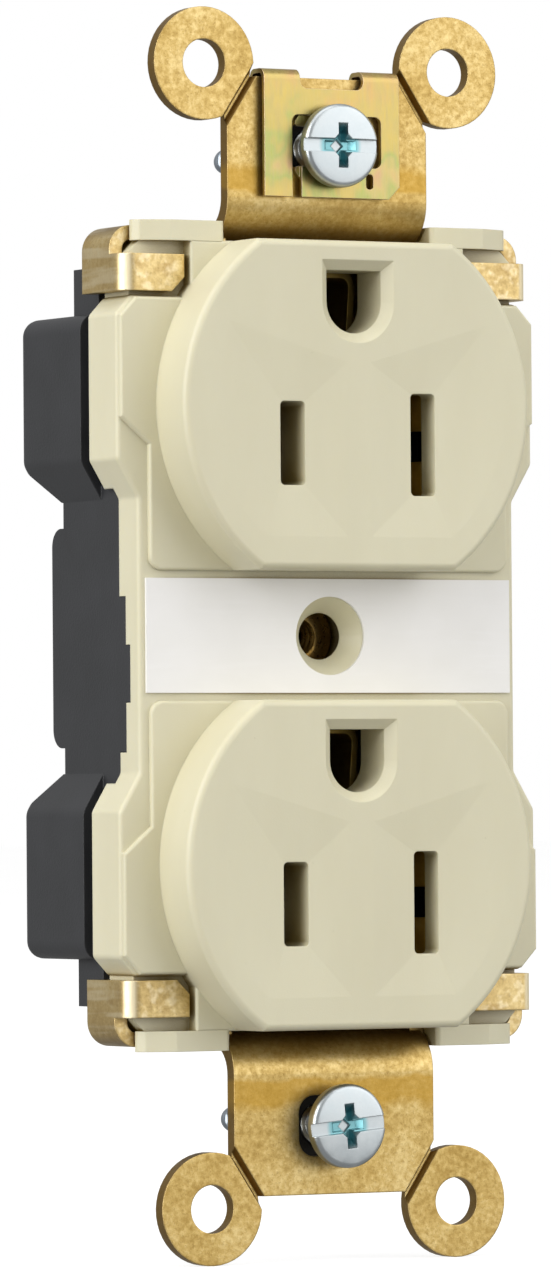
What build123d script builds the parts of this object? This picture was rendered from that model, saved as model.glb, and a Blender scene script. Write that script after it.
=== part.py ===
from build123d import *
import os

# Duplex wall outlet, built as its separate pieces. Millimetres.
# +X is right and +Z is up for someone facing the outlet, and +Y runs back into the wall.
# The origin is on the axis of the cover screw, in the plane of the backs of the ears,
# which is the plane that seats on the wall.

os.makedirs("parts", exist_ok=True)

# --- Driving dimensions -------------------------------------------------------------------

SCREW_SPACING = 83.3          # between the two mounting screws
OUTLET_SPACING = 38.9         # between the centres of the two faces
BLADE_SPACING = 12.7          # between the two blade slots of one face
GROUND_ABOVE_SLOTS = 12.05    # ground pin centre above the slots' centre
FACE_RADIUS = 16.85
FACE_HALF_HEIGHT = 13.95

STRAP_T = 1.2                 # strap sheet
CONTACT_T = 0.7               # contact sheet
CLIP_T = 0.4                  # grounding clip sheet
FIT = 0.05                    # gap between neighbouring pieces

# Depths along Y
FACE_Y = -6.3                 # front of the faces
RAISED_Y = -1.3               # raised panels of the cover
COVER_Y = -0.8                # lower level of the cover, under the label
LEDGE_Y = 0.05                # ledge that the strap's tabs lie on
COVER_SKIN_Y = 1.0            # inner surface of the cover's front wall
COVER_MID_REAR_Y = 2.6
COVER_SHOULDER_REAR_Y = 4.15
BAR_REAR_Y = 5.9              # back of the strap's central bar
BODY_FRONT_Y = 5.95
RETAINER_Y = 7.4
RETAINER_T = 1.2
SPINE_Y = 12.6                # front of the contact strips' spines
BODY_FLOOR_Y = 15.2
BODY_REAR_Y = 17.0
INLET_FLOOR_Y = 16.8
INLET_TIP_Y = 22.5
INLET_MOUTH_Y = 24.0

# Heights and half widths
MID_HALF = 18.4
SHOULDER_HALF = 20.35
SHOULDER_TOP = 28.7
SHOULDER_FOOT = 14.85
MID_TOP = 11.6
MID_STEP = 12.9               # where the cover's rear edge steps back
STRAP_HALF = 9.75             # strap tab
PLATE_TOP = 34.7              # outer surface of the strap's end plates
TAB_TOP = 47.5
ARM_HALF = 20.0               # outside of the strap's corner arms

EAR_X = 11.95
EAR_Z = 48.45
EAR_RADIUS = 4.8
EAR_HOLE_RADIUS = 2.05

SLOT_HALF_WIDTH = 1.2
HOT_SLOT_HALF = 3.55
NEUTRAL_SLOT_HALF = 4.35
SLOT_DROP = 3.3               # slot centre below the face centre
GROUND_RISE = GROUND_ABOVE_SLOTS - SLOT_DROP
GROUND_RADIUS = 2.65
GROUND_FLAT = 2.7             # flat of the ground hole above its centre

SHANK_RADIUS = 1.75
HEAD_RADIUS = 3.57
HEAD_T = 1.3
HEAD_EDGE = 0.45              # rounding of a screw head's front edge
HEAD_FRONT_Y = -4.05
SHANK_LENGTH = 20.6
WASHER_Y = 1.6
WASHER_T = 0.8

SCREW_Z = SCREW_SPACING / 2
SLOT_X = BLADE_SPACING / 2
FACE_ZS = (OUTLET_SPACING / 2, -OUTLET_SPACING / 2)
GROUND_ZS = tuple(z + GROUND_RISE for z in FACE_ZS)
BLADE_ZS = tuple(z - SLOT_DROP for z in FACE_ZS)
PLATE_BOTTOM = PLATE_TOP - STRAP_T
BAR_FRONT_Y = BAR_REAR_Y - STRAP_T


def depth(y):
    """Plane parallel to the wall at depth y: local x is X, local y is Z, facing the front."""
    return Plane.XZ.offset(-y)


def save(part, label):
    part.label = label
    export_step(part, f"parts/{label}.step")


def mirrored(points):
    """A half outline given for +X, closed with its mirror image in X."""
    return points + tuple((-x, z) for x, z in reversed(points))


def outline(points, radius=0, low=0):
    """A filled polygon. Corners further than low from the X axis are rounded by radius."""
    with BuildSketch() as shape:
        with BuildLine():
            Polyline(*points, close=True)
        make_face()
        if radius:
            fillet([v for v in shape.vertices() if abs(v.Y) > low], radius)
    return shape.sketch


def sheet(points, radius, thickness, side=Side.LEFT):
    """Section of a bent sheet: one surface follows the points, the other is offset from it."""
    with BuildSketch() as shape:
        with BuildLine():
            FilletPolyline(*points, radius=radius)
            offset(amount=thickness, side=side)
        make_face()
    return shape.sketch


# --- Front cover ----------------------------------------------------------------------------

CAVITY_HALF = 16.6
FACE_SKIN_Y = FACE_Y + 2.5    # inner surface of a face
COLLAR_REAR_Y = -1.9          # back of the collars round the hot slots
COLLAR_WALL = 0.8
GROUND_COLLAR_REAR_Y = -1.55  # back of the collars round the ground holes
CORNER_RADIUS = 0.7           # rounding of the cover's corners
FACE_WALL = 1.9
LEDGE_X = 13.4                # inner side of the corner ledges
LEDGE_HALF = 18.7
HOOK_BOTTOM = 33.35
HOOK_TOP = 35.1
HOOK_TIP = 18.3
HOOK_REAR_Y = 0.9
HOOK_CORNER = 0.45
HOOK_ROOT = STRAP_HALF + 0.35
COVER_END = PLATE_BOTTOM - FIT
CORNER_REAR_Y = 4.25
BOSS_X = 15.2
BOSS_Z = 30.0
BOSS_RADIUS = 2.5
PILOT_RADIUS = 1.2
PANEL_HALF = 17.5
PANEL_Z = 5.5
EDGE = 0.15                   # step back of the raised panels from the cover's edge
PANEL_CORNER = 1.2
SLOT_CORNER = 0.4
FINDER_DEPTH = 0.22
COUNTERSINK_RADIUS = 3.3
COVER_HOLE_RADIUS = 2.0
CENTRE_BOSS_RADIUS = 4.5
BUSHING_ROOM = 3.3            # radius of the hole behind the cone, round the bushing's flange
TONGUES = ((1.55, -9.8, 3.3), (0.8, -5.6, -0.8))   # front Y, lowest and highest Z
TONGUE_T = 1.6


def cover_outline(sign):
    """Outline of the cover from its middle to the top of one pair of shoulders."""
    return mirrored((
        (MID_HALF, 0),
        (MID_HALF, MID_TOP * sign),
        (SHOULDER_HALF, SHOULDER_FOOT * sign),
        (SHOULDER_HALF, (SHOULDER_TOP - 1.6) * sign),
        (SHOULDER_HALF - 1.5, SHOULDER_TOP * sign),
    ))


def panel_outline(sign):
    """Outline of the raised panel round one face."""
    top = SHOULDER_TOP - EDGE
    return mirrored((
        (PANEL_HALF, PANEL_Z * sign),
        (PANEL_HALF, 16.1 * sign),
        (SHOULDER_HALF - EDGE, 18.4 * sign),
        (SHOULDER_HALF - EDGE, (top - 1.6) * sign),
        (SHOULDER_HALF - EDGE - 1.5, top * sign),
        (LEDGE_X, top * sign),
        (LEDGE_X, COVER_END * sign),
    ))


def panel_corner(side, sign):
    """What rounding takes off a raised panel's corner beside the label."""
    x = side * PANEL_HALF
    z = sign * PANEL_Z
    with BuildSketch() as shape:
        with Locations((x - side * PANEL_CORNER / 2, z + sign * PANEL_CORNER / 2)):
            Rectangle(PANEL_CORNER, PANEL_CORNER)
        with Locations((x - side * PANEL_CORNER, z + sign * PANEL_CORNER)):
            Circle(PANEL_CORNER, mode=Mode.SUBTRACT)
    return shape.sketch


def end_outline(sign):
    """Outline of one end of the cover, which the strap's arms fold round."""
    return mirrored((
        (LEDGE_HALF, (SHOULDER_TOP - 1) * sign),
        (LEDGE_HALF, (COVER_END - 1.1) * sign),
        (LEDGE_HALF - 1.1, COVER_END * sign),
    ))


def flatted_disc(z, radius, half_height):
    """A disc with a flat at its top and bottom, centred at height z."""
    reach = (radius ** 2 - half_height ** 2) ** 0.5
    with BuildSketch() as shape:
        with BuildLine():
            Line((-reach, z + half_height), (reach, z + half_height))
            ThreePointArc((reach, z + half_height), (radius, z), (reach, z - half_height))
            Line((reach, z - half_height), (-reach, z - half_height))
            ThreePointArc((-reach, z - half_height), (-radius, z), (-reach, z + half_height))
        make_face()
    return shape.sketch


def ground_hole(z, grow=0.0):
    """The ground hole: round at the bottom and flat at the top."""
    side = GROUND_RADIUS + grow
    flat = z + GROUND_FLAT + grow
    with BuildSketch() as shape:
        with BuildLine():
            Line((side, z), (side, flat))
            Line((side, flat), (-side, flat))
            Line((-side, flat), (-side, z))
            ThreePointArc((-side, z), (0, z - side), (side, z))
        make_face()
    return shape.sketch


def finder_outline(side, z):
    """Boundary of the shallow facets that lead a blade to one slot."""
    high = (side * 12.6, z + 6.97)
    low = (side * 9.08, z - 11.18)
    with BuildSketch() as shape:
        with BuildLine():
            Line(high, (side * 1.1, z + 3.6))
            Line((side * 1.1, z + 3.6), (side * 1.1, z - 11.18))
            Line((side * 1.1, z - 11.18), low)
            ThreePointArc(low, (side * 14.25, z - 2.07), high)
        make_face()
    return shape.sketch


def blade_slot(side, z, corner=0):
    """A blade slot: short on the hot side, long on the neutral side."""
    half = HOT_SLOT_HALF if side < 0 else NEUTRAL_SLOT_HALF
    with BuildSketch() as shape:
        with Locations((side * SLOT_X, z - SLOT_DROP)):
            Rectangle(2 * SLOT_HALF_WIDTH, 2 * half)
        if corner:
            fillet(shape.vertices(), corner)
    return shape.sketch


with BuildPart() as front_cover:
    # Lower front level, with the side walls of the shoulders and of the middle.
    with BuildSketch(depth(COVER_SHOULDER_REAR_Y)):
        add(outline(cover_outline(1), CORNER_RADIUS, PANEL_Z))
        add(outline(cover_outline(-1), CORNER_RADIUS, PANEL_Z))
    extrude(amount=COVER_SHOULDER_REAR_Y - COVER_Y)
    fillet(front_cover.faces().sort_by(Axis.Y)[0].outer_wire().edges(), 0.4)
    with BuildSketch(depth(COVER_SHOULDER_REAR_Y)):
        Rectangle(2 * MID_HALF + 1, 2 * MID_STEP)
    extrude(amount=COVER_SHOULDER_REAR_Y - COVER_MID_REAR_Y, mode=Mode.SUBTRACT)
    # Ends, with the corner ledges.
    with BuildSketch(depth(CORNER_REAR_Y)):
        add(outline(end_outline(1)))
        add(outline(end_outline(-1)))
    extrude(amount=CORNER_REAR_Y - LEDGE_Y)
    # Raised panel round each face.
    with BuildSketch(depth(LEDGE_Y)):
        for sign in (1, -1):
            add(outline(panel_outline(sign)))
            for side in (1, -1):
                add(panel_corner(side, sign), mode=Mode.SUBTRACT)
    extrude(amount=LEDGE_Y - RAISED_Y)
    fillet(front_cover.faces().sort_by(Axis.Y)[:2].edges(), 0.25)
    # Hook fingers over the ledges, tapered towards their tips, and their roots.
    with BuildSketch(Plane.XY.offset(HOOK_BOTTOM), Plane.XY.offset(-HOOK_TOP)):
        for side in (1, -1):
            add(outline((
                (side * HOOK_ROOT, RAISED_Y),
                (side * (HOOK_TIP - 3.0), RAISED_Y),
                (side * (HOOK_TIP - 0.5), RAISED_Y + 0.9),
                (side * HOOK_TIP, RAISED_Y + 1.5),
                (side * HOOK_TIP, HOOK_REAR_Y),
                (side * HOOK_ROOT, HOOK_REAR_Y),
            ), HOOK_CORNER))
    extrude(amount=HOOK_TOP - HOOK_BOTTOM)
    with BuildSketch(depth(HOOK_REAR_Y)):
        with GridLocations(HOOK_ROOT + LEDGE_X, 2 * HOOK_BOTTOM, 2, 2):
            Rectangle(LEDGE_X - HOOK_ROOT, 1.6)
    extrude(amount=HOOK_REAR_Y - RAISED_Y - 0.3)
    # The two faces, rounded at their rims.
    with BuildSketch(depth(LEDGE_Y)):
        for z in FACE_ZS:
            add(flatted_disc(z, FACE_RADIUS, FACE_HALF_HEIGHT))
    extrude(amount=LEDGE_Y - FACE_Y)
    fillet(front_cover.faces().sort_by(Axis.Y)[:2].edges(), 0.6)
    # Hollow behind the front wall: the middle, the shoulders and the faces.
    with BuildSketch(depth(CORNER_REAR_Y)):
        Rectangle(2 * CAVITY_HALF, 2 * (SHOULDER_TOP - 1.7))
        with GridLocations(0, 43.2, 1, 2):
            Rectangle(2 * (SHOULDER_HALF - 1.7), 10.4)
        Rectangle(2 * CAVITY_HALF + 1, 2 * CENTRE_BOSS_RADIUS, mode=Mode.SUBTRACT)
    extrude(amount=CORNER_REAR_Y - COVER_SKIN_Y, mode=Mode.SUBTRACT)
    with BuildSketch(depth(CORNER_REAR_Y)):
        for z in FACE_ZS:
            add(flatted_disc(z, FACE_RADIUS - FACE_WALL, FACE_HALF_HEIGHT - FACE_WALL))
    extrude(amount=CORNER_REAR_Y - FACE_SKIN_Y, mode=Mode.SUBTRACT)
    # The rib across the middle carries the boss round the cover screw's hole.
    with BuildSketch(depth(COVER_MID_REAR_Y)):
        with GridLocations(2 * (CAVITY_HALF + CENTRE_BOSS_RADIUS) / 2, 0, 2, 1):
            Rectangle(CAVITY_HALF - CENTRE_BOSS_RADIUS, 2 * CENTRE_BOSS_RADIUS)
    extrude(amount=COVER_MID_REAR_Y - COVER_SKIN_Y, mode=Mode.SUBTRACT)
    with BuildSketch(depth(COVER_MID_REAR_Y)):
        Rectangle(4 * CENTRE_BOSS_RADIUS, 4 * CENTRE_BOSS_RADIUS)
    extrude(amount=-0.3, mode=Mode.SUBTRACT)
    # Finder facets, slots and ground holes.
    for z in FACE_ZS:
        for side in (-1, 1):
            with BuildSketch(depth(FACE_Y)):
                add(finder_outline(side, z))
            with BuildSketch(depth(FACE_Y + FINDER_DEPTH)):
                add(blade_slot(side, z))
            loft(ruled=True, mode=Mode.SUBTRACT)
            if side < 0:
                with BuildSketch(depth(COLLAR_REAR_Y)):
                    with Locations((side * SLOT_X, z - SLOT_DROP)):
                        Rectangle(
                            2 * (SLOT_HALF_WIDTH + COLLAR_WALL),
                            2 * (HOT_SLOT_HALF + COLLAR_WALL),
                        )
                extrude(amount=COLLAR_REAR_Y - FACE_SKIN_Y)
            with BuildSketch(depth(COLLAR_REAR_Y)):
                add(blade_slot(side, z, SLOT_CORNER))
            extrude(amount=COLLAR_REAR_Y - FACE_Y, mode=Mode.SUBTRACT)
        with BuildSketch(depth(GROUND_COLLAR_REAR_Y)):
            add(ground_hole(z + GROUND_RISE, 0.9))
        extrude(amount=GROUND_COLLAR_REAR_Y - FACE_SKIN_Y)
        with BuildSketch(depth(GROUND_COLLAR_REAR_Y)):
            add(ground_hole(z + GROUND_RISE))
        extrude(amount=GROUND_COLLAR_REAR_Y - FACE_Y, mode=Mode.SUBTRACT)
        with BuildSketch(depth(FACE_Y)):
            add(ground_hole(z + GROUND_RISE, 0.85))
        with BuildSketch(depth(FACE_Y + 0.8)):
            add(ground_hole(z + GROUND_RISE))
        loft(ruled=True, mode=Mode.SUBTRACT)
    # Countersunk hole for the cover screw, in a boss that stands on the strap's bar.
    with BuildSketch(depth(BAR_FRONT_Y - FIT)):
        Circle(CENTRE_BOSS_RADIUS)
    extrude(amount=BAR_FRONT_Y - FIT - COVER_SKIN_Y)
    with BuildSketch(depth(BAR_FRONT_Y - FIT)):
        Circle(BUSHING_ROOM)
    extrude(amount=BAR_FRONT_Y - FIT - COVER_SKIN_Y, mode=Mode.SUBTRACT)
    with BuildSketch(depth(COVER_Y)):
        Circle(COUNTERSINK_RADIUS)
    with BuildSketch(depth(COVER_SKIN_Y - 0.1)):
        Circle(COVER_HOLE_RADIUS)
    loft(ruled=True, mode=Mode.SUBTRACT)
    with BuildSketch(depth(COVER_SKIN_Y)):
        Circle(COVER_HOLE_RADIUS)
    extrude(amount=COVER_SKIN_Y - COVER_Y, mode=Mode.SUBTRACT)
    # Screw bosses at the corners, and the stepped notches for the rear body's tongues.
    with BuildSketch(depth(BODY_FRONT_Y)):
        with GridLocations(2 * BOSS_X, 2 * BOSS_Z, 2, 2):
            Circle(BOSS_RADIUS)
    extrude(amount=BODY_FRONT_Y - CORNER_REAR_Y)
    with BuildSketch(depth(BODY_FRONT_Y)):
        with GridLocations(2 * BOSS_X, 2 * BOSS_Z, 2, 2):
            Circle(PILOT_RADIUS)
    extrude(amount=BODY_FRONT_Y - COVER_SKIN_Y - 0.2, mode=Mode.SUBTRACT)
    for front, low, high in TONGUES:
        with BuildSketch(depth(COVER_MID_REAR_Y)):
            with GridLocations(2 * MID_HALF, 0, 2, 1):
                with Locations((0, (low + high) / 2)):
                    Rectangle(2 * TONGUE_T + 2 * FIT, high - low + 2 * FIT)
        extrude(amount=COVER_MID_REAR_Y - front + FIT, mode=Mode.SUBTRACT)
    save(front_cover.part, "front_cover")

# --- Label strip ------------------------------------------------------------------------------

with BuildPart() as face_label:
    with BuildSketch(depth(COVER_Y)):
        Rectangle(35.6, 9.7)
        Circle(COUNTERSINK_RADIUS + 0.05, mode=Mode.SUBTRACT)
    extrude(amount=0.25)
    save(face_label.part, "face_label")

# --- Mounting strap ---------------------------------------------------------------------------

BEND_INNER = 2.5
WING_FRONT_Y = 1.0
ARM_TAB_X = 14.0
ARM_TAB_LOW = 29.05
ARM_TAB_HIGH = 32.2
BAR_HALF = 3.0
BAR_LOW = -28.0               # the bar is narrow between these heights
BAR_HIGH = 22.4
EYE_HALF = 6.0
WINDOW = (6.8, 6.9)           # window round a ground contact
SLOT = (7.0, 5.2)             # mounting screw slot
ARM_CLIP = 1.7
SCORE_LENGTH = 6.4
SCORE_W = 0.85
SCORE_DEPTH = 0.55
SCORE_X = 8.55                # middle of the score line beside an ear
SCORE_Z = 45.75
SCORE_ANGLE = -56.5
RIVET_HOLE_RADIUS = 1.0
CONTACT_RIVET_DROP = 5.9      # ground contact rivet below the contact's centre
INLET_RIVET_Z = 6.9
BUSHING_NECK_RADIUS = 2.3

with BuildPart() as mounting_strap:
    # Long section: tab, bend, end plate, central bar, end plate, bend and tab.
    with BuildSketch(Plane.YZ):
        add(sheet(
            (
                (0, TAB_TOP),
                (0, PLATE_TOP),
                (BAR_REAR_Y, PLATE_TOP),
                (BAR_REAR_Y, -PLATE_TOP),
                (0, -PLATE_TOP),
                (0, -TAB_TOP),
            ),
            [BEND_INNER, STRAP_T + 0.6, STRAP_T + 0.6, BEND_INNER],
            STRAP_T,
            Side.RIGHT,
        ))
    extrude(amount=STRAP_HALF, both=True)
    # Wings of the end plates, bent down the sides.
    with BuildSketch(Plane.XZ.offset(-BAR_REAR_Y)):
        add(sheet(
            ((STRAP_HALF - 1, PLATE_TOP), (ARM_HALF, PLATE_TOP), (ARM_HALF, ARM_TAB_LOW)),
            [2.1],
            STRAP_T,
            Side.RIGHT,
        ))
    extrude(amount=BAR_REAR_Y - WING_FRONT_Y)
    # Side panels, bent round the corners into the front tabs.
    with BuildSketch(Plane.XY.offset(ARM_TAB_LOW)):
        add(sheet(
            ((ARM_HALF, BAR_REAR_Y), (ARM_HALF, -STRAP_T), (ARM_TAB_X, -STRAP_T)),
            [1.4],
            STRAP_T,
            Side.RIGHT,
        ))
    extrude(amount=ARM_TAB_HIGH - ARM_TAB_LOW)
    # Break-off ear.
    with BuildSketch(depth(0)):
        with Locations((EAR_X, EAR_Z)):
            Circle(EAR_RADIUS)
    extrude(amount=STRAP_T)
    with BuildSketch(depth(0)):
        with Locations((EAR_X, EAR_Z)):
            Circle(EAR_HOLE_RADIUS)
    extrude(amount=STRAP_T, mode=Mode.SUBTRACT)
    # Clipped corner at the tip of the arm's front tab.
    with BuildSketch(depth(0)):
        with Locations((ARM_TAB_X, ARM_TAB_LOW)):
            Rectangle(ARM_CLIP, ARM_CLIP, rotation=45)
    extrude(amount=STRAP_T, mode=Mode.SUBTRACT)
    mirror(about=Plane.YZ)
    mirror(about=Plane.XY)
    # Score lines that the ears break off along.
    for sign_x in (1, -1):
        for sign_z in (1, -1):
            with BuildSketch(depth(-STRAP_T)):
                with Locations(Location(
                    (SCORE_X * sign_x, SCORE_Z * sign_z),
                    SCORE_ANGLE * sign_x * sign_z,
                )):
                    Rectangle(SCORE_LENGTH, SCORE_W)
            extrude(amount=-SCORE_DEPTH, taper=30, mode=Mode.SUBTRACT)
    # The bar is narrow between the blades, with an eye round the lower ground contact.
    with BuildSketch(depth(BAR_REAR_Y)):
        with Locations((0, (BAR_LOW + BAR_HIGH) / 2)):
            Rectangle(2 * STRAP_HALF + 1, BAR_HIGH - BAR_LOW)
            Rectangle(2 * BAR_HALF, BAR_HIGH - BAR_LOW, mode=Mode.SUBTRACT)
        with Locations((0, GROUND_ZS[1])):
            RectangleRounded(2 * EYE_HALF, WINDOW[1] + 3, 1.5, mode=Mode.SUBTRACT)
    extrude(amount=STRAP_T, mode=Mode.SUBTRACT)
    with BuildSketch(depth(BAR_REAR_Y)):
        for z in GROUND_ZS:
            with Locations((0, z)):
                Rectangle(*WINDOW)
            with Locations((0, z - CONTACT_RIVET_DROP)):
                Circle(RIVET_HOLE_RADIUS)
        with Locations((0, INLET_RIVET_Z)):
            Circle(RIVET_HOLE_RADIUS)
        Circle(BUSHING_NECK_RADIUS)
    extrude(amount=STRAP_T, mode=Mode.SUBTRACT)
    # Slots for the mounting screws.
    with BuildSketch(depth(0)):
        with GridLocations(0, SCREW_SPACING, 1, 2):
            RectangleRounded(*SLOT, 1.5)
    extrude(amount=STRAP_T, mode=Mode.SUBTRACT)
    save(mounting_strap.part, "mounting_strap")

# --- Self-grounding clip ----------------------------------------------------------------------

CLIP_HALF = 6.6
CLIP_REAR_Y = -1.65           # back of the clip's front plate
CLIP_FOOT = 37.3
CLIP_LOBE_TOP = TAB_TOP + 0.7
LOBE_X = 3.1                  # inner side of the lobes
WINDOW_FOOT = 39.9            # lower edge of the screw's window
JAW_RADIUS = 4.0              # spring jaw round the screw, open towards the left
JAW_INNER = 1.85
JAW_MOUTH = 3.4

with BuildPart() as self_grounding_clip:
    with BuildSketch(Plane.YZ):
        add(sheet(
            (
                (CLIP_REAR_Y - CLIP_T, CLIP_FOOT),
                (CLIP_REAR_Y - CLIP_T, CLIP_LOBE_TOP),
                (CLIP_T + FIT, CLIP_LOBE_TOP),
                (CLIP_T + FIT, TAB_TOP - 3.2),
            ),
            [0.9, 0.7],
            CLIP_T,
            Side.RIGHT,
        ))
    extrude(amount=CLIP_HALF, both=True)
    # Notch between the two lobes.
    with BuildSketch(depth(2)):
        with Locations((0, CLIP_LOBE_TOP)):
            RectangleRounded(2 * LOBE_X, 3.3, 0.7)
    extrude(amount=6, mode=Mode.SUBTRACT)
    with BuildSketch(depth(2)):
        with Locations((0, TAB_TOP - 2)):
            Rectangle(2 * LOBE_X, 5)
    extrude(amount=2, mode=Mode.SUBTRACT)
    # Window for the screw, and the slits that free the spring tongue below it.
    with BuildSketch(depth(CLIP_REAR_Y)):
        with Locations((0.45, WINDOW_FOOT + 2.2)):
            RectangleRounded(8.7, 4.4, 0.6)
        with Locations((-3.45, 39.4)):
            Rectangle(0.9, 5.0)
        with Locations((3.65, 38.75)):
            RectangleRounded(0.7, 1.3, 0.3)
        with Locations((CLIP_HALF, CLIP_FOOT)):
            Rectangle(1.5, 1.5, rotation=45)
    extrude(amount=CLIP_T, mode=Mode.SUBTRACT)
    # Spring jaw round the screw, folded in behind the plate.
    with BuildSketch(depth(-STRAP_T - FIT)):
        with BuildSketch(mode=Mode.PRIVATE) as jaw:
            Circle(JAW_RADIUS)
            Circle(JAW_INNER, mode=Mode.SUBTRACT)
            with Locations((-JAW_RADIUS, 0)):
                Rectangle(2 * JAW_RADIUS, JAW_MOUTH, mode=Mode.SUBTRACT)
            fillet(jaw.vertices().filter_by_position(Axis.X, -JAW_RADIUS, -JAW_INNER), 0.3)
        with Locations((0, SCREW_Z)):
            add(jaw.sketch)
    extrude(amount=-STRAP_T - FIT - CLIP_REAR_Y)
    save(self_grounding_clip.part, "self_grounding_clip")

# --- Cover screw bushing ----------------------------------------------------------------------

BUSHING_BORE = 1.4            # 6-32 thread, drilled radius
BUSHING_Y = 3.9               # front of the bushing, inside the cover's boss
SWAGE_T = 0.6

with BuildPart() as cover_screw_bushing:
    with BuildSketch(depth(BAR_FRONT_Y)):
        Circle(3.0)
    extrude(amount=BAR_FRONT_Y - BUSHING_Y)
    with BuildSketch(depth(BAR_REAR_Y)):
        Circle(BUSHING_NECK_RADIUS)
    extrude(amount=STRAP_T)
    with BuildSketch(depth(BAR_REAR_Y + SWAGE_T)):
        Circle(2.8)
    extrude(amount=SWAGE_T)
    with BuildSketch(depth(BAR_REAR_Y + SWAGE_T)):
        Circle(BUSHING_BORE)
    extrude(amount=BAR_REAR_Y + SWAGE_T - BUSHING_Y, mode=Mode.SUBTRACT)
    save(cover_screw_bushing.part, "cover_screw_bushing")

# --- Ground contacts --------------------------------------------------------------------------

GROUND_MOUTH_Y = -0.4
GROUND_TAIL_Y = 11.0
FOOT_REAR_Y = BAR_REAR_Y + CONTACT_T

for z, label in zip(GROUND_ZS, ("upper_ground_contact", "lower_ground_contact")):
    with BuildPart() as ground_contact:
        # Folded channel whose legs close in to grip a round pin.
        with BuildSketch(depth(GROUND_TAIL_Y)):
            add(sheet(
                ((-2.15, z - 2.5), (-2.5, z + 2.4), (2.5, z + 2.4), (2.15, z - 2.5)),
                [0.8, 0.8],
                CONTACT_T - 0.1,
            ))
        extrude(amount=GROUND_TAIL_Y - GROUND_MOUTH_Y)
        # Foot behind the bar, with the rivet hole.
        with BuildSketch(depth(FOOT_REAR_Y)):
            with Locations((0, z - 5.3)):
                Rectangle(5.3, 5.8)
        extrude(amount=CONTACT_T - FIT)
        with BuildSketch(depth(FOOT_REAR_Y)):
            with Locations((0, z - CONTACT_RIVET_DROP)):
                Circle(RIVET_HOLE_RADIUS)
            with Locations((0, z)):
                Circle(2.6)
        extrude(amount=CONTACT_T, mode=Mode.SUBTRACT)
        save(ground_contact.part, label)

# --- Hot and neutral contact strips -----------------------------------------------------------

HOT_MOUTH_Y = -1.8            # front of the hot jaws, behind the slot's collar
NEUTRAL_MOUTH_Y = -3.5
JAW_HALF = 4.6                # half height of one set of jaws
JAW_SPLIT = 2.6               # gap between the two fingers of a jaw
SPINE_HALF = 1.75
LINE_RIVET_Z = 1.0

for side, mouth_y, label in (
    (-1, HOT_MOUTH_Y, "hot_contact_strip"),
    (1, NEUTRAL_MOUTH_Y, "neutral_contact_strip"),
):
    x = side * SLOT_X
    with BuildPart() as contact_strip:
        for z in BLADE_ZS:
            # Jaws: pinched at the throat and flared at the mouth.
            with BuildSketch(Plane.XY.offset(z - JAW_HALF)):
                add(sheet(
                    (
                        (x - 1.35, mouth_y),
                        (x - 0.5, mouth_y + 2.2),
                        (x - 1.3, mouth_y + 6.5),
                        (x - 1.3, SPINE_Y),
                        (x + 1.3, SPINE_Y),
                        (x + 1.3, mouth_y + 6.5),
                        (x + 0.5, mouth_y + 2.2),
                        (x + 1.35, mouth_y),
                    ),
                    [0.8, 2.0, 0.5, 0.5, 2.0, 0.8],
                    0.5,
                    Side.LEFT,
                ))
            extrude(amount=2 * JAW_HALF)
            # The split that makes two fingers on each side.
            with BuildSketch(depth(4.0)):
                with Locations((x, z)):
                    Rectangle(5, JAW_SPLIT)
            extrude(amount=4.0 - mouth_y + 1, mode=Mode.SUBTRACT)
        # Spine that joins the two sets of jaws.
        with BuildSketch(depth(SPINE_Y + 0.5)):
            with Locations((x, sum(BLADE_ZS) / 2)):
                Rectangle(2 * SPINE_HALF, BLADE_ZS[0] - BLADE_ZS[1])
        extrude(amount=0.5)
        with BuildSketch(depth(SPINE_Y + 0.5)):
            with Locations((x, LINE_RIVET_Z)):
                Circle(RIVET_HOLE_RADIUS)
        extrude(amount=0.5, mode=Mode.SUBTRACT)
        save(contact_strip.part, label)

# --- Line inlet blades ------------------------------------------------------------------------

BLADE_T = 0.8
BLADE_HALF = 1.6
LINE_BLADE_Z = -3.2           # lower surface of the hot and neutral blades
GROUND_BLADE_Z = 3.6          # bottom surface of the ground blade
LINE_FOOT_Y = SPINE_Y + 0.5
INLET_BLADES = (
    ("hot_inlet_blade", -SLOT_X, LINE_FOOT_Y, LINE_BLADE_Z, LINE_RIVET_Z),
    ("neutral_inlet_blade", SLOT_X, LINE_FOOT_Y, LINE_BLADE_Z, LINE_RIVET_Z),
    ("ground_inlet_blade", 0, BAR_REAR_Y, GROUND_BLADE_Z, INLET_RIVET_Z),
)

for label, x, foot_y, blade_z, rivet_z in INLET_BLADES:
    with BuildPart() as inlet_blade:
        with BuildSketch(Plane.YZ.offset(x - BLADE_HALF)):
            add(sheet(
                ((foot_y, rivet_z + 1.8), (foot_y, blade_z), (INLET_TIP_Y, blade_z)),
                [BLADE_T + 0.2],
                BLADE_T,
            ))
        extrude(amount=2 * BLADE_HALF)
        chamfer(inlet_blade.faces().sort_by(Axis.Y)[-1].edges(), 0.25)
        with BuildSketch(depth(foot_y + BLADE_T)):
            with Locations((x, rivet_z)):
                Circle(RIVET_HOLE_RADIUS)
        extrude(amount=BLADE_T, mode=Mode.SUBTRACT)
        save(inlet_blade.part, label)

# --- Rivets -----------------------------------------------------------------------------------

RIVET_HEAD_RADIUS = 1.6
RIVET_HEAD_T = 0.4


def rivets(places, front, rear):
    """Rivets through a stack between two depths, with a head on each side."""
    with BuildPart() as group:
        with BuildSketch(depth(rear)):
            with Locations(*places):
                Circle(RIVET_HOLE_RADIUS)
        extrude(amount=rear - front)
        for y in (front, rear + RIVET_HEAD_T):
            with BuildSketch(depth(y)):
                with Locations(*places):
                    Circle(RIVET_HEAD_RADIUS)
            extrude(amount=RIVET_HEAD_T)
    return group.part


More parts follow.
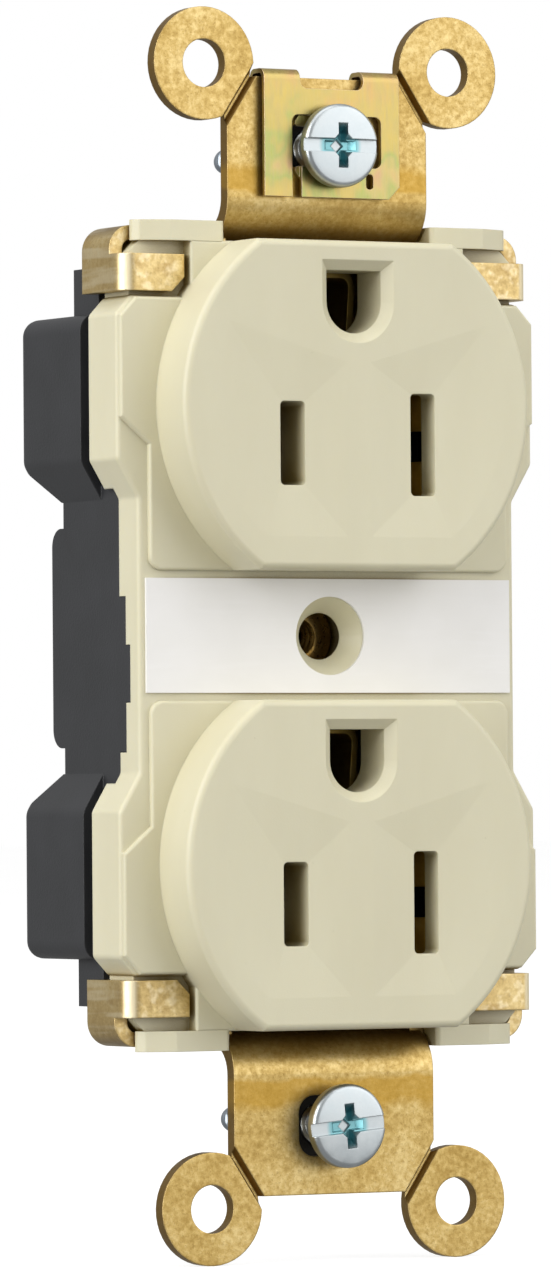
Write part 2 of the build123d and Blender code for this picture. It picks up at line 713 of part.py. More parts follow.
contact_rivet_places = [(0, z - CONTACT_RIVET_DROP) for z in GROUND_ZS]
save(rivets(contact_rivet_places, BAR_FRONT_Y, FOOT_REAR_Y), "ground_contact_rivets")
save(rivets([(0, INLET_RIVET_Z)], BAR_FRONT_Y, BAR_REAR_Y + BLADE_T), "ground_inlet_rivet")
line_rivet_places = [(-SLOT_X, LINE_RIVET_Z), (SLOT_X, LINE_RIVET_Z)]
save(rivets(line_rivet_places, SPINE_Y, LINE_FOOT_Y + BLADE_T), "line_inlet_rivets")

# --- Rear body --------------------------------------------------------------------------------

BODY_SHOULDER_TOP = 27.4
BODY_SHOULDER_Y = 5.7
BODY_MID_REAR_Y = 12.6
FOOT_LOW = 11.0               # the sloped foot of a shoulder, at the middle stretch's back
FOOT_HIGH = 15.6              # the same, just behind the shoulder's back
REAR_EDGE = 1.2               # rounding of the shoulders' rear edges
HUMP_REAR_Y = 14.7
HUMP_HALF = 9.4
NECK_HALF = 19.2
NECK_FRONT_Y = COVER_SHOULDER_REAR_Y + FIT
END_BLOCK_TOP = 31.4
END_BLOCK_REAR_Y = 10.4
MIDDLE_END_HALF = 10.6
MIDDLE_END_TOP = 34.0
REAR_BLOCK_HALF = 13.5
SEAT_HALF = 11.8              # seat of the contact retainer
SEAT_TOP = 29.4
WELL_HALF = 9.2               # contact well behind it
WELL_TOP = 28.4
WELL_END_HALF = 5.0
WELL_END_TOP = 32.3
INLET_HALF = 8.9
INLET_LOW = -6.4
INLET_HIGH = 7.0
INLET_WALL = 1.7


BODY_CORNER = 1.5


def body_outline(half, sign):
    """Outline of one pair of the body's shoulders."""
    return mirrored((
        (MID_HALF - (SHOULDER_HALF - half), MID_TOP * sign),
        (half, SHOULDER_FOOT * sign),
        (half, BODY_SHOULDER_TOP * sign),
    ))


with BuildPart() as rear_body:
    # Shoulders, rounded at the back, on a narrower neck.
    with BuildSketch(depth(BODY_REAR_Y)):
        add(outline(body_outline(SHOULDER_HALF, 1), BODY_CORNER, MID_STEP))
        add(outline(body_outline(SHOULDER_HALF, -1), BODY_CORNER, MID_STEP))
    extrude(amount=BODY_REAR_Y - BODY_SHOULDER_Y)
    fillet(rear_body.faces().sort_by(Axis.Y)[-2:].edges(), REAR_EDGE)
    # The feet of the shoulders slope forward to the middle stretch.
    with BuildSketch(Plane.YZ.offset(-SHOULDER_HALF)):
        for sign in (1, -1):
            add(outline((
                (BODY_MID_REAR_Y - 0.5, FOOT_LOW * sign),
                (BODY_REAR_Y + 1, FOOT_HIGH * sign),
                (BODY_REAR_Y + 1, 0),
                (BODY_MID_REAR_Y - 0.5, 0),
            )))
    extrude(amount=2 * SHOULDER_HALF, mode=Mode.SUBTRACT)
    with BuildSketch(depth(BODY_SHOULDER_Y)):
        add(outline(body_outline(NECK_HALF, 1)))
        add(outline(body_outline(NECK_HALF, -1)))
    extrude(amount=BODY_SHOULDER_Y - NECK_FRONT_Y)
    # Middle stretch, with a raised hump across its back.
    with BuildSketch(depth(BODY_MID_REAR_Y)):
        Rectangle(2 * MID_HALF, 2 * (MID_STEP - FIT))
    extrude(amount=BODY_MID_REAR_Y - COVER_MID_REAR_Y - FIT)
    with BuildSketch(Plane.YZ.offset(-MID_HALF)):
        with Locations((HUMP_REAR_Y - 3, 0)):
            RectangleRounded(6, 2 * HUMP_HALF, 1.6)
    extrude(amount=2 * MID_HALF)
    # End blocks, and the deeper middle of each end.
    with BuildSketch(depth(END_BLOCK_REAR_Y)):
        Rectangle(2 * MID_HALF, 2 * END_BLOCK_TOP)
        Rectangle(2 * MID_HALF, 2 * BODY_SHOULDER_TOP - 4, mode=Mode.SUBTRACT)
    extrude(amount=END_BLOCK_REAR_Y - BODY_FRONT_Y)
    with BuildSketch(depth(BODY_REAR_Y)):
        Rectangle(2 * MIDDLE_END_HALF, 2 * MIDDLE_END_TOP)
        Rectangle(2 * MIDDLE_END_HALF, 2 * BODY_SHOULDER_TOP - 4, mode=Mode.SUBTRACT)
    extrude(amount=BODY_REAR_Y - BODY_FRONT_Y)
    with BuildSketch(depth(BODY_REAR_Y)):
        Rectangle(2 * REAR_BLOCK_HALF, 2 * SHOULDER_FOOT)
    extrude(amount=BODY_REAR_Y - BODY_FRONT_Y)
    # Inlet housing.
    with BuildSketch(depth(INLET_MOUTH_Y)):
        with Locations((0, (INLET_LOW + INLET_HIGH) / 2)):
            RectangleRounded(
                2 * (INLET_HALF + INLET_WALL),
                INLET_HIGH - INLET_LOW + 2 * INLET_WALL,
                1.5,
            )
    extrude(amount=INLET_MOUTH_Y - BODY_FLOOR_Y)
    # Tongues that reach forward into the cover's side walls.
    for front, low, high in TONGUES:
        with BuildSketch(depth(COVER_MID_REAR_Y + 1)):
            with GridLocations(2 * MID_HALF - TONGUE_T, 0, 2, 1):
                with Locations((0, (low + high) / 2)):
                    Rectangle(TONGUE_T, high - low)
        extrude(amount=COVER_MID_REAR_Y + 1 - front)
    # Contact well, with its ledge for the retainer, and the side hollows.
    with BuildSketch(depth(RETAINER_Y + RETAINER_T)):
        Rectangle(2 * SEAT_HALF, 2 * SEAT_TOP)
    extrude(amount=RETAINER_Y + RETAINER_T, mode=Mode.SUBTRACT)
    with BuildSketch(depth(BODY_FLOOR_Y)):
        Rectangle(2 * WELL_HALF, 2 * WELL_TOP)
        Rectangle(2 * WELL_END_HALF, 2 * WELL_END_TOP)
    extrude(amount=BODY_FLOOR_Y, mode=Mode.SUBTRACT)
    with BuildSketch(depth(BODY_MID_REAR_Y - 1.6)):
        with GridLocations(SEAT_HALF + 1.2 + CAVITY_HALF, 0, 2, 1):
            Rectangle(CAVITY_HALF - SEAT_HALF - 1.2, 2 * (BODY_SHOULDER_TOP - 1.8))
    extrude(amount=BODY_MID_REAR_Y, mode=Mode.SUBTRACT)
    with BuildSketch(depth(BODY_FLOOR_Y)):
        with GridLocations(31.5, 42.4, 2, 2):
            Rectangle(5.3, 9.0)
    extrude(amount=BODY_FLOOR_Y, mode=Mode.SUBTRACT)
    # Inlet recess and the passages for its blades.
    with BuildSketch(depth(INLET_MOUTH_Y)):
        with Locations((0, (INLET_LOW + INLET_HIGH) / 2)):
            RectangleRounded(2 * INLET_HALF, INLET_HIGH - INLET_LOW, 0.8)
    extrude(amount=INLET_MOUTH_Y - INLET_FLOOR_Y, mode=Mode.SUBTRACT)
    with BuildSketch(depth(INLET_FLOOR_Y)):
        with GridLocations(2 * SLOT_X, 0, 2, 1):
            with Locations((0, LINE_BLADE_Z + BLADE_T / 2)):
                Rectangle(2 * BLADE_HALF + 2 * FIT, BLADE_T + 2 * FIT)
        with Locations((0, GROUND_BLADE_Z + BLADE_T / 2)):
            Rectangle(2 * BLADE_HALF + 2 * FIT, BLADE_T + 2 * FIT)
    extrude(amount=INLET_FLOOR_Y - BODY_FLOOR_Y, mode=Mode.SUBTRACT)
    # Assembly screw holes, sunk at the back of the end blocks.
    with BuildSketch(depth(END_BLOCK_REAR_Y)):
        with GridLocations(2 * BOSS_X, 2 * BOSS_Z, 2, 2):
            Circle(PILOT_RADIUS + 0.1)
    extrude(amount=END_BLOCK_REAR_Y - BODY_FRONT_Y, mode=Mode.SUBTRACT)
    save(rear_body.part, "rear_body")

# --- Contact retainer -------------------------------------------------------------------------

with BuildPart() as contact_retainer:
    with BuildSketch(depth(RETAINER_Y + RETAINER_T - FIT)):
        Rectangle(2 * SEAT_HALF - 0.2, 2 * SEAT_TOP - 0.2)
        Circle(3.2, mode=Mode.SUBTRACT)
        for z in BLADE_ZS:
            with Locations((-SLOT_X, z), (SLOT_X, z)):
                Rectangle(4.4, 2 * JAW_HALF + 0.4, mode=Mode.SUBTRACT)
        for z in GROUND_ZS:
            with Locations((0, z)):
                Rectangle(7.0, 6.6, mode=Mode.SUBTRACT)
        with Locations((0, GROUND_BLADE_Z + BLADE_T / 2)):
            Rectangle(2 * BLADE_HALF + 0.2, BLADE_T + 0.2, mode=Mode.SUBTRACT)
    extrude(amount=RETAINER_T - FIT)
    save(contact_retainer.part, "contact_retainer")

# --- Assembly screws --------------------------------------------------------------------------

ASSEMBLY_HEAD_RADIUS = 2.2
ASSEMBLY_HEAD_T = 1.4
ASSEMBLY_TIP_Y = 1.9

with BuildPart() as assembly_screws:
    with BuildSketch(depth(END_BLOCK_REAR_Y)):
        with GridLocations(2 * BOSS_X, 2 * BOSS_Z, 2, 2):
            Circle(PILOT_RADIUS)
    extrude(amount=END_BLOCK_REAR_Y - ASSEMBLY_TIP_Y)
    with BuildSketch(depth(END_BLOCK_REAR_Y + ASSEMBLY_HEAD_T)):
        with GridLocations(2 * BOSS_X, 2 * BOSS_Z, 2, 2):
            Circle(ASSEMBLY_HEAD_RADIUS)
    extrude(amount=ASSEMBLY_HEAD_T)
    fillet(assembly_screws.faces().sort_by(Axis.Y)[-4:].edges(), 0.5)
    # Cross recesses, cut from the back.
    with BuildSketch(Plane(origin=(0, END_BLOCK_REAR_Y + ASSEMBLY_HEAD_T, 0), z_dir=(0, 1, 0))):
        with GridLocations(2 * BOSS_X, 2 * BOSS_Z, 2, 2):
            Rectangle(2.4, 0.6)
            Rectangle(0.6, 2.4)
    extrude(amount=-0.9, mode=Mode.SUBTRACT)
    save(assembly_screws.part, "assembly_screws")

# --- Mounting screws and their captive washers ------------------------------------------------

HEAD_REAR_Y = HEAD_FRONT_Y + HEAD_T
TIP_Y = HEAD_REAR_Y + SHANK_LENGTH
TAPER_LENGTH = 5.0
TIP_RADIUS = 0.9
NECK_RADIUS = 1.55            # plain neck under the head, where the thread ends
THREAD_Y = WASHER_Y + WASHER_T + 0.2
DRIVE_SLOT_W = 1.13
DRIVE_SLOT_DEPTH = 0.55
CROSS_LENGTH = 3.7
CROSS_W = 0.95
CROSS_DEPTH = 1.15

for name, z, turn in (("upper", SCREW_Z, 0), ("lower", -SCREW_Z, 5)):
    with BuildPart() as mounting_screw:
        with BuildSketch(depth(HEAD_REAR_Y)):
            with Locations((0, z)):
                Circle(HEAD_RADIUS)
        extrude(amount=HEAD_T)
        fillet(mounting_screw.faces().sort_by(Axis.Y)[0].edges(), HEAD_EDGE)
        # Shank with a neck and a tapered point.
        with BuildSketch(Plane.YZ):
            add(outline((
                (HEAD_REAR_Y - 0.1, z),
                (HEAD_REAR_Y - 0.1, z + NECK_RADIUS),
                (THREAD_Y, z + NECK_RADIUS),
                (THREAD_Y, z + SHANK_RADIUS),
                (TIP_Y - TAPER_LENGTH, z + SHANK_RADIUS),
                (TIP_Y - 0.3, z + TIP_RADIUS),
                (TIP_Y, z + TIP_RADIUS - 0.3),
                (TIP_Y, z),
            )))
        revolve(axis=Axis((0, 0, z), (0, 1, 0)))
        # Slot across the whole head, with a cross recess in its middle.
        with BuildSketch(depth(HEAD_FRONT_Y)):
            with Locations(Location((0, z), turn)):
                Rectangle(2 * HEAD_RADIUS + 1, DRIVE_SLOT_W)
        extrude(amount=-DRIVE_SLOT_DEPTH, mode=Mode.SUBTRACT)
        for angle in (turn, turn + 90):
            with BuildSketch(depth(HEAD_FRONT_Y)):
                with Locations(Location((0, z), angle)):
                    Rectangle(CROSS_LENGTH, CROSS_W)
            extrude(amount=-CROSS_DEPTH, taper=15, mode=Mode.SUBTRACT)
        save(mounting_screw.part, f"{name}_mounting_screw")
    with BuildPart() as screw_washer:
        with BuildSketch(depth(WASHER_Y + WASHER_T)):
            with Locations((0, z)):
                RectangleRounded(9.0, 9.0, 0.8)
                Circle(SHANK_RADIUS + FIT, mode=Mode.SUBTRACT)
        extrude(amount=WASHER_T)
        save(screw_washer.part, f"{name}_screw_washer")
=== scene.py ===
import bpy
import bmesh
import math
from mathutils import Matrix, Vector


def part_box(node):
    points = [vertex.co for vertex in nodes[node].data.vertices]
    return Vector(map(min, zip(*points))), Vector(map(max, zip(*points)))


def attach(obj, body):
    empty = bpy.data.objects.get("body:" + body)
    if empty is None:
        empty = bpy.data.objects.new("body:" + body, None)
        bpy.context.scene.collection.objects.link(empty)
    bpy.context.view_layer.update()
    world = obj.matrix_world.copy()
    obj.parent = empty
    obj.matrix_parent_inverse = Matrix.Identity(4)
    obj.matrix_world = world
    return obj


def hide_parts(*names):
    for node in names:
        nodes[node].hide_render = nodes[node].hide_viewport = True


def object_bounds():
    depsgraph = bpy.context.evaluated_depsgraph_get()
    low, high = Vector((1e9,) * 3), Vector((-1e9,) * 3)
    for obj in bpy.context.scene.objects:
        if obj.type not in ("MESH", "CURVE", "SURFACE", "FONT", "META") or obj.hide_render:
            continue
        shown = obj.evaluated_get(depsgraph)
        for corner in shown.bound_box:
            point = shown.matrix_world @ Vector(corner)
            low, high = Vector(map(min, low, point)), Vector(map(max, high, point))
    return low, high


# Duplex wall outlet in a plain studio. Metres, in the frame of the CAD model: +X right and
# +Z up for someone facing the outlet, +Y back into the wall.

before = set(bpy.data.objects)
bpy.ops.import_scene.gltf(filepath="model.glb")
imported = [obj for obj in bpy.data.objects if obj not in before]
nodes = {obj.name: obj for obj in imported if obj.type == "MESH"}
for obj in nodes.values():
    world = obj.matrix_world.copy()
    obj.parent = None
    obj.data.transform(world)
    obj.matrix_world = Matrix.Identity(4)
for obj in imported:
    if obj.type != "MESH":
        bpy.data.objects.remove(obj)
cad_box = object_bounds()

MM = 0.001


# --- Shader helpers -------------------------------------------------------------------------


def new_material(name):
    """A material with its node tree and its Principled shader."""
    material = bpy.data.materials.new(name)
    material.use_nodes = True
    tree = material.node_tree
    return material, tree, tree.nodes["Principled BSDF"]


def link(tree, source, target):
    tree.links.new(source, target)


def position(tree):
    """The point on the object, in metres."""
    return tree.nodes.new("ShaderNodeTexCoord").outputs["Object"]


def separate(tree, vector):
    split = tree.nodes.new("ShaderNodeSeparateXYZ")
    link(tree, vector, split.inputs[0])
    return split.outputs


def scaled(tree, vector, scale):
    mapping = tree.nodes.new("ShaderNodeMapping")
    mapping.inputs["Scale"].default_value = scale
    link(tree, vector, mapping.inputs["Vector"])
    return mapping.outputs[0]


def noise(tree, vector, size, detail=3.0, rough=0.55):
    """Noise from 0 to 1 whose blotches are about size metres across."""
    node = tree.nodes.new("ShaderNodeTexNoise")
    node.inputs["Scale"].default_value = 1 / size
    node.inputs["Detail"].default_value = detail
    node.inputs["Roughness"].default_value = rough
    link(tree, vector, node.inputs["Vector"])
    return node.outputs["Fac"]


def math_node(tree, operation, a, b=0.0, clamp=False):
    """One Math node. Its inputs may be sockets or numbers."""
    node = tree.nodes.new("ShaderNodeMath")
    node.operation = operation
    node.use_clamp = clamp
    for socket, value in zip(node.inputs, (a, b)):
        if isinstance(value, (int, float)):
            socket.default_value = value
        else:
            link(tree, value, socket)
    return node.outputs[0]


def spread(tree, value, low, high, out_low=0.0, out_high=1.0):
    """value from low..high stretched to out_low..out_high, held at the ends."""
    node = tree.nodes.new("ShaderNodeMapRange")
    link(tree, value, node.inputs["Value"])
    node.inputs["From Min"].default_value = low
    node.inputs["From Max"].default_value = high
    node.inputs["To Min"].default_value = out_low
    node.inputs["To Max"].default_value = out_high
    return node.outputs["Result"]


def mix(tree, amount, first, second, blend="MIX"):
    """first where amount is 0 and second where it is 1. Colours may be sockets or triples."""
    node = tree.nodes.new("ShaderNodeMix")
    node.data_type = "RGBA"
    node.blend_type = blend
    if isinstance(amount, (int, float)):
        node.inputs["Factor"].default_value = amount
    else:
        link(tree, amount, node.inputs["Factor"])
    for socket, value in ((node.inputs[6], first), (node.inputs[7], second)):
        if isinstance(value, tuple):
            socket.default_value = (*value, 1.0)
        else:
            link(tree, value, socket)
    return node.outputs[2]


def ramp(tree, value, stops):
    """A colour ramp through (place, colour) stops."""
    node = tree.nodes.new("ShaderNodeValToRGB")
    link(tree, value, node.inputs[0])
    elements = node.color_ramp.elements
    while len(elements) < len(stops):
        elements.new(0.5)
    for element, (place, colour) in zip(elements, stops):
        element.position = place
        element.color = (*colour, 1.0)
    return node.outputs["Color"]


def bump(tree, shader, height, distance, strength=1.0, edge_radius=0.0):
    """Relief of distance metres, on edges that look rounded by edge_radius."""
    node = tree.nodes.new("ShaderNodeBump")
    node.inputs["Strength"].default_value = strength
    node.inputs["Distance"].default_value = distance
    link(tree, height, node.inputs["Height"])
    if edge_radius:
        bevel = tree.nodes.new("ShaderNodeBevel")
        bevel.samples = 6
        bevel.inputs["Radius"].default_value = edge_radius
        link(tree, bevel.outputs[0], node.inputs["Normal"])
    link(tree, node.outputs[0], shader.inputs["Normal"])


def edge_wear(tree, radius):
    """1 near a sharp edge or corner and 0 away from it."""
    bevel = tree.nodes.new("ShaderNodeBevel")
    bevel.samples = 6
    bevel.inputs["Radius"].default_value = radius
    plain = tree.nodes.new("ShaderNodeNewGeometry")
    dot = tree.nodes.new("ShaderNodeVectorMath")
    dot.operation = "DOT_PRODUCT"
    link(tree, bevel.outputs[0], dot.inputs[0])
    link(tree, plain.outputs["Normal"], dot.inputs[1])
    return spread(tree, dot.outputs["Value"], 0.99, 0.80)


def cavity_shade_mask(tree, distance, dark, light):
    """A mask for painted shade: 1 deep in a slot or hole and 0 in the open, by how much of the sky
    is hidden.
    """
    node = tree.nodes.new("ShaderNodeAmbientOcclusion")
    node.samples = 8
    node.inputs["Distance"].default_value = distance
    return spread(tree, node.outputs["AO"], light, dark)


# --- Materials ------------------------------------------------------------------------------


def ivory_nylon():
    """Moulded nylon: even ivory, faint flow marks and a fine satin skin, with painted shade in its
    slots and holes.
    """
    material, tree, shader = new_material("ivory_nylon")
    place = position(tree)
    flow = noise(tree, scaled(tree, place, (1.0, 1.0, 0.35)), 9 * MM, detail=4.0)
    colour = mix(tree, spread(tree, flow, 0.3, 0.7), (0.655, 0.612, 0.430), (0.700, 0.660, 0.475))
    specks = spread(tree, noise(tree, place, 0.5 * MM, detail=1.0), 0.80, 0.86)
    colour = mix(tree, math_node(tree, "MULTIPLY", specks, 0.35), colour, (0.50, 0.46, 0.30))
    # Painted shade: slots and holes are painted dark olive where little of the sky reaches them.
    colour = mix(tree, cavity_shade_mask(tree, 6 * MM, 0.10, 0.50), colour, (0.175, 0.110, 0.0))
    link(tree, colour, shader.inputs["Base Color"])
    skin = noise(tree, place, 0.14 * MM, detail=2.0)
    link(tree, spread(tree, flow, 0.3, 0.7, 0.36, 0.46), shader.inputs["Roughness"])
    shader.inputs["IOR"].default_value = 1.5
    shader.inputs["Subsurface Weight"].default_value = 0.12
    shader.inputs["Subsurface Radius"].default_value = (1.0, 0.8, 0.45)
    shader.inputs["Subsurface Scale"].default_value = 0.8 * MM
    bump(tree, shader, skin, 0.012 * MM, 0.5, edge_radius=0.12 * MM)
    return material


def white_label():
    """Plain printed film: off white with faint streaks from cutting and handling."""
    material, tree, shader = new_material("white_label")
    place = position(tree)
    streaks = noise(tree, scaled(tree, place, (0.2, 1.0, 1.6)), 1.2 * MM, detail=3.0)
    blotches = noise(tree, place, 6 * MM, detail=2.0)
    tint = mix(tree, spread(tree, blotches, 0.3, 0.7), (0.84, 0.825, 0.795), (0.88, 0.865, 0.845))
    tint = mix(tree, spread(tree, streaks, 0.55, 0.75, 0.0, 0.25), tint, (0.92, 0.91, 0.90))
    link(tree, tint, shader.inputs["Base Color"])
    link(tree, spread(tree, streaks, 0.3, 0.7, 0.30, 0.42), shader.inputs["Roughness"])
    bump(tree, shader, streaks, 0.01 * MM, 0.6)
    return material


def moulded_plastic(name, dark, light, roughness, texture):
    """Dark moulded plastic with a spark-eroded texture of that size."""
    material, tree, shader = new_material(name)
    place = position(tree)
    cloud = noise(tree, place, 5 * MM, detail=4.0)
    link(tree, mix(tree, spread(tree, cloud, 0.3, 0.7), dark, light), shader.inputs["Base Color"])
    grain = noise(tree, place, texture, detail=3.0, rough=0.6)
    link(tree, spread(tree, cloud, 0.3, 0.7, roughness - 0.05, roughness + 0.06),
         shader.inputs["Roughness"])
    bump(tree, shader, grain, 0.03 * MM, 0.7, edge_radius=0.15 * MM)
    return material


def strap_brass():
    """Tumbled brass sheet: finely speckled gold, with painted shade on the tabs' sheared sides and
    bends and a painted highlight in the corner arms' bends.
    """
    material, tree, shader = new_material("strap_brass")
    place = position(tree)
    x, y, z = separate(tree, place)
    mottle = noise(tree, place, 0.55 * MM, detail=5.0, rough=0.7)
    speck = noise(tree, place, 0.22 * MM, detail=2.0)
    cloud = noise(tree, place, 5 * MM, detail=3.0)
    gold = ramp(tree, math_node(tree, "ADD", math_node(tree, "MULTIPLY", mottle, 0.55),
                                math_node(tree, "MULTIPLY", cloud, 0.45)),
                ((0.38, (0.44, 0.290, 0.085)), (0.50, (0.56, 0.395, 0.140)),
                 (0.62, (0.68, 0.520, 0.230))))
    gold = mix(tree, spread(tree, speck, 0.58, 0.70, 0.0, 0.35), gold, (0.24, 0.135, 0.03))
    # Painted shade: the tabs' faces that turn away from the front, along the sheared sides and
    # through the bends, are painted dark.
    facing = separate(tree, tree.nodes.new("ShaderNodeTexCoord").outputs["Normal"])[1]
    turned = spread(tree, math_node(tree, "ABSOLUTE", facing), 0.93, 0.50)
    height = math_node(tree, "ABSOLUTE", z)
    on_tab = spread(tree, height, 33.6 * MM, 34.4 * MM)
    tab_turned_shade = math_node(tree, "MULTIPLY", math_node(tree, "MULTIPLY", turned, on_tab), 0.85)
    gold = mix(tree, tab_turned_shade, gold, (0.20, 0.115, 0.025))
    # A richer golden band where each tab leaves its bend.
    wavy = math_node(tree, "ADD", height, spread(tree, cloud, 0.3, 0.7, -0.5 * MM, 0.5 * MM))
    band = math_node(tree, "MULTIPLY", spread(tree, wavy, 37.5 * MM, 37.9 * MM),
                     spread(tree, wavy, 40.4 * MM, 39.4 * MM))
    gold = mix(tree, math_node(tree, "MULTIPLY", band, 0.75), gold, (0.46, 0.27, 0.04))
    # Painted highlight: the corner arms are painted pale in their bends, where faces turn partway
    # between front and side; real pale scuff lines run across the arms.
    on_arm = math_node(tree, "MULTIPLY",
                       spread(tree, math_node(tree, "ABSOLUTE", x), 14.0 * MM, 15.0 * MM),
                       spread(tree, height, 37.0 * MM, 36.0 * MM))
    aslant = math_node(tree, "ABSOLUTE", facing)
    # Mask of the painted highlight: faces turned about halfway between front and side.
    bend = math_node(tree, "MULTIPLY", spread(tree, aslant, 0.25, 0.55),
                     spread(tree, aslant, 0.995, 0.90))
    patches = noise(tree, scaled(tree, place, (0.6, 1.0, 1.0)), 1.6 * MM, detail=4.0, rough=0.6)
    stain = math_node(tree, "MULTIPLY", spread(tree, patches, 0.56, 0.70, 0.0, 0.6), on_arm)
    gold = mix(tree, stain, gold, (0.34, 0.19, 0.035))
    scuffs = noise(tree, scaled(tree, place, (1.0, 0.1, 1.0)), 0.9 * MM, detail=2.0)
    # The painted highlight in the bends, together with the arms' scuff lines.
    bend_highlight_and_scuffs = math_node(tree, "MAXIMUM", math_node(tree, "MULTIPLY", bend, 0.9),
                       spread(tree, scuffs, 0.50, 0.66, 0.12, 0.45))
    gold = mix(tree, math_node(tree, "MULTIPLY", bend_highlight_and_scuffs, on_arm), gold, (0.98, 0.88, 0.62))
    wear = math_node(tree, "MULTIPLY", edge_wear(tree, 0.16 * MM), 0.40)
    gold = mix(tree, wear, gold, (0.80, 0.62, 0.30))
    link(tree, gold, shader.inputs["Base Color"])
    shader.inputs["Metallic"].default_value = 1.0
    rough = math_node(tree, "ADD", spread(tree, mottle, 0.3, 0.7, 0.50, 0.36),
                      math_node(tree, "MULTIPLY", math_node(tree, "MULTIPLY", bend, on_arm), 0.12))
    link(tree, rough, shader.inputs["Roughness"])
    bump(tree, shader, math_node(tree, "ADD", mottle, speck), 0.018 * MM, 0.5,
         edge_radius=0.18 * MM)
    return material


def plain_brass(name, dark, light, roughness):
    """Bright brass with fine turning or rolling lines and a little tarnish."""
    material, tree, shader = new_material(name)
    place = position(tree)
    lines = noise(tree, scaled(tree, place, (1.0, 0.15, 1.0)), 0.3 * MM, detail=3.0)
    tarnish = noise(tree, place, 2.5 * MM, detail=4.0)
    colour = mix(tree, spread(tree, tarnish, 0.3, 0.7), dark, light)
    link(tree, colour, shader.inputs["Base Color"])
    shader.inputs["Metallic"].default_value = 1.0
    link(tree, spread(tree, lines, 0.3, 0.7, roughness - 0.06, roughness + 0.08),
         shader.inputs["Roughness"])
    bump(tree, shader, lines, 0.008 * MM, 0.6, edge_radius=0.08 * MM)
    return material


def chromated_steel():
    """Yellow chromate over zinc: pale gold that drifts to green and pink."""
    material, tree, shader = new_material("chromated_steel")
    place = position(tree)
    drift = noise(tree, scaled(tree, place, (1.0, 1.0, 0.8)), 5.5 * MM, detail=3.0, rough=0.6)
    colour = ramp(tree, drift, (
        (0.30, (0.46, 0.25, 0.13)),
        (0.38, (0.50, 0.34, 0.12)),
        (0.46, (0.48, 0.36, 0.11)),
        (0.54, (0.44, 0.35, 0.11)),
        (0.60, (0.33, 0.35, 0.11)),
        (0.68, (0.47, 0.36, 0.14)),
        (0.76, (0.50, 0.28, 0.17)),
    ))
    grain = noise(tree, scaled(tree, place, (1.0, 1.0, 0.12)), 0.18 * MM, detail=3.0)
    colour = mix(tree, spread(tree, grain, 0.3, 0.7, 0.0, 0.20), colour, (0.62, 0.56, 0.34))
    bare = math_node(tree, "MULTIPLY", edge_wear(tree, 0.10 * MM), 0.7)
    colour = mix(tree, bare, colour, (0.86, 0.66, 0.50))
    link(tree, colour, shader.inputs["Base Color"])
    shader.inputs["Metallic"].default_value = 1.0
    link(tree, spread(tree, grain, 0.3, 0.7, 0.30, 0.42), shader.inputs["Roughness"])
    bump(tree, shader, grain, 0.01 * MM, 0.5, edge_radius=0.08 * MM)
    return material


def zinc_steel(name, centre_z, front_y):
    """Bright zinc plate, with the blue green passivation that gathers in the recess."""
    material, tree, shader = new_material(name)
    place = position(tree)
    x, y, z = separate(tree, place)
    cloud = noise(tree, place, 1.8 * MM, detail=4.0)
    fine = noise(tree, place, 0.12 * MM, detail=2.0)
    colour = mix(tree, spread(tree, cloud, 0.3, 0.7), (0.42, 0.46, 0.475), (0.55, 0.585, 0.595))
    across = math_node(tree, "POWER", x, 2.0)
    along = math_node(tree, "POWER", math_node(tree, "SUBTRACT", z, centre_z), 2.0)
    radius = math_node(tree, "SQRT", math_node(tree, "ADD", across, along))
    inside = spread(tree, radius, 2.1 * MM, 1.7 * MM)
    sunk = math_node(tree, "MULTIPLY", spread(tree, y, front_y + 0.15 * MM, front_y + 0.65 * MM),
                     spread(tree, y, front_y + 1.4 * MM, front_y + 1.3 * MM))
    teal = math_node(tree, "MULTIPLY", math_node(tree, "MULTIPLY", inside, sunk), 0.75)
    colour = mix(tree, teal, colour, (0.10, 0.38, 0.42))
    tip = math_node(tree, "MULTIPLY", spread(tree, y, front_y + 18 * MM, front_y + 20 * MM), 0.6)
    colour = mix(tree, tip, colour, (0.24, 0.29, 0.36))
    link(tree, colour, shader.inputs["Base Color"])
    shader.inputs["Metallic"].default_value = 1.0
    link(tree, spread(tree, cloud, 0.3, 0.7, 0.28, 0.42), shader.inputs["Roughness"])
    bump(tree, shader, fine, 0.006 * MM, 0.5, edge_radius=0.10 * MM)
    return material


UPPER_SCREW_Z = sum(v.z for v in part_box("upper_mounting_screw")) / 2
LOWER_SCREW_Z = sum(v.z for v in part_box("lower_mounting_screw")) / 2
SCREW_FRONT_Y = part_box("upper_mounting_screw")[0].y

upper_zinc = zinc_steel("upper_zinc_steel", UPPER_SCREW_Z, SCREW_FRONT_Y)
lower_zinc = zinc_steel("lower_zinc_steel", LOWER_SCREW_Z, SCREW_FRONT_Y)
assembly_zinc = zinc_steel("assembly_zinc_steel", 1.0, 0.0)
contact_brass = plain_brass("contact_brass", (0.33, 0.22, 0.05), (0.48, 0.36, 0.12), 0.45)
turned_brass = plain_brass("turned_brass", (0.30, 0.17, 0.04), (0.55, 0.37, 0.12), 0.30)
charcoal = moulded_plastic("charcoal_plastic", (0.018, 0.019, 0.021), (0.027, 0.028, 0.031),
                           0.46, 0.22 * MM)

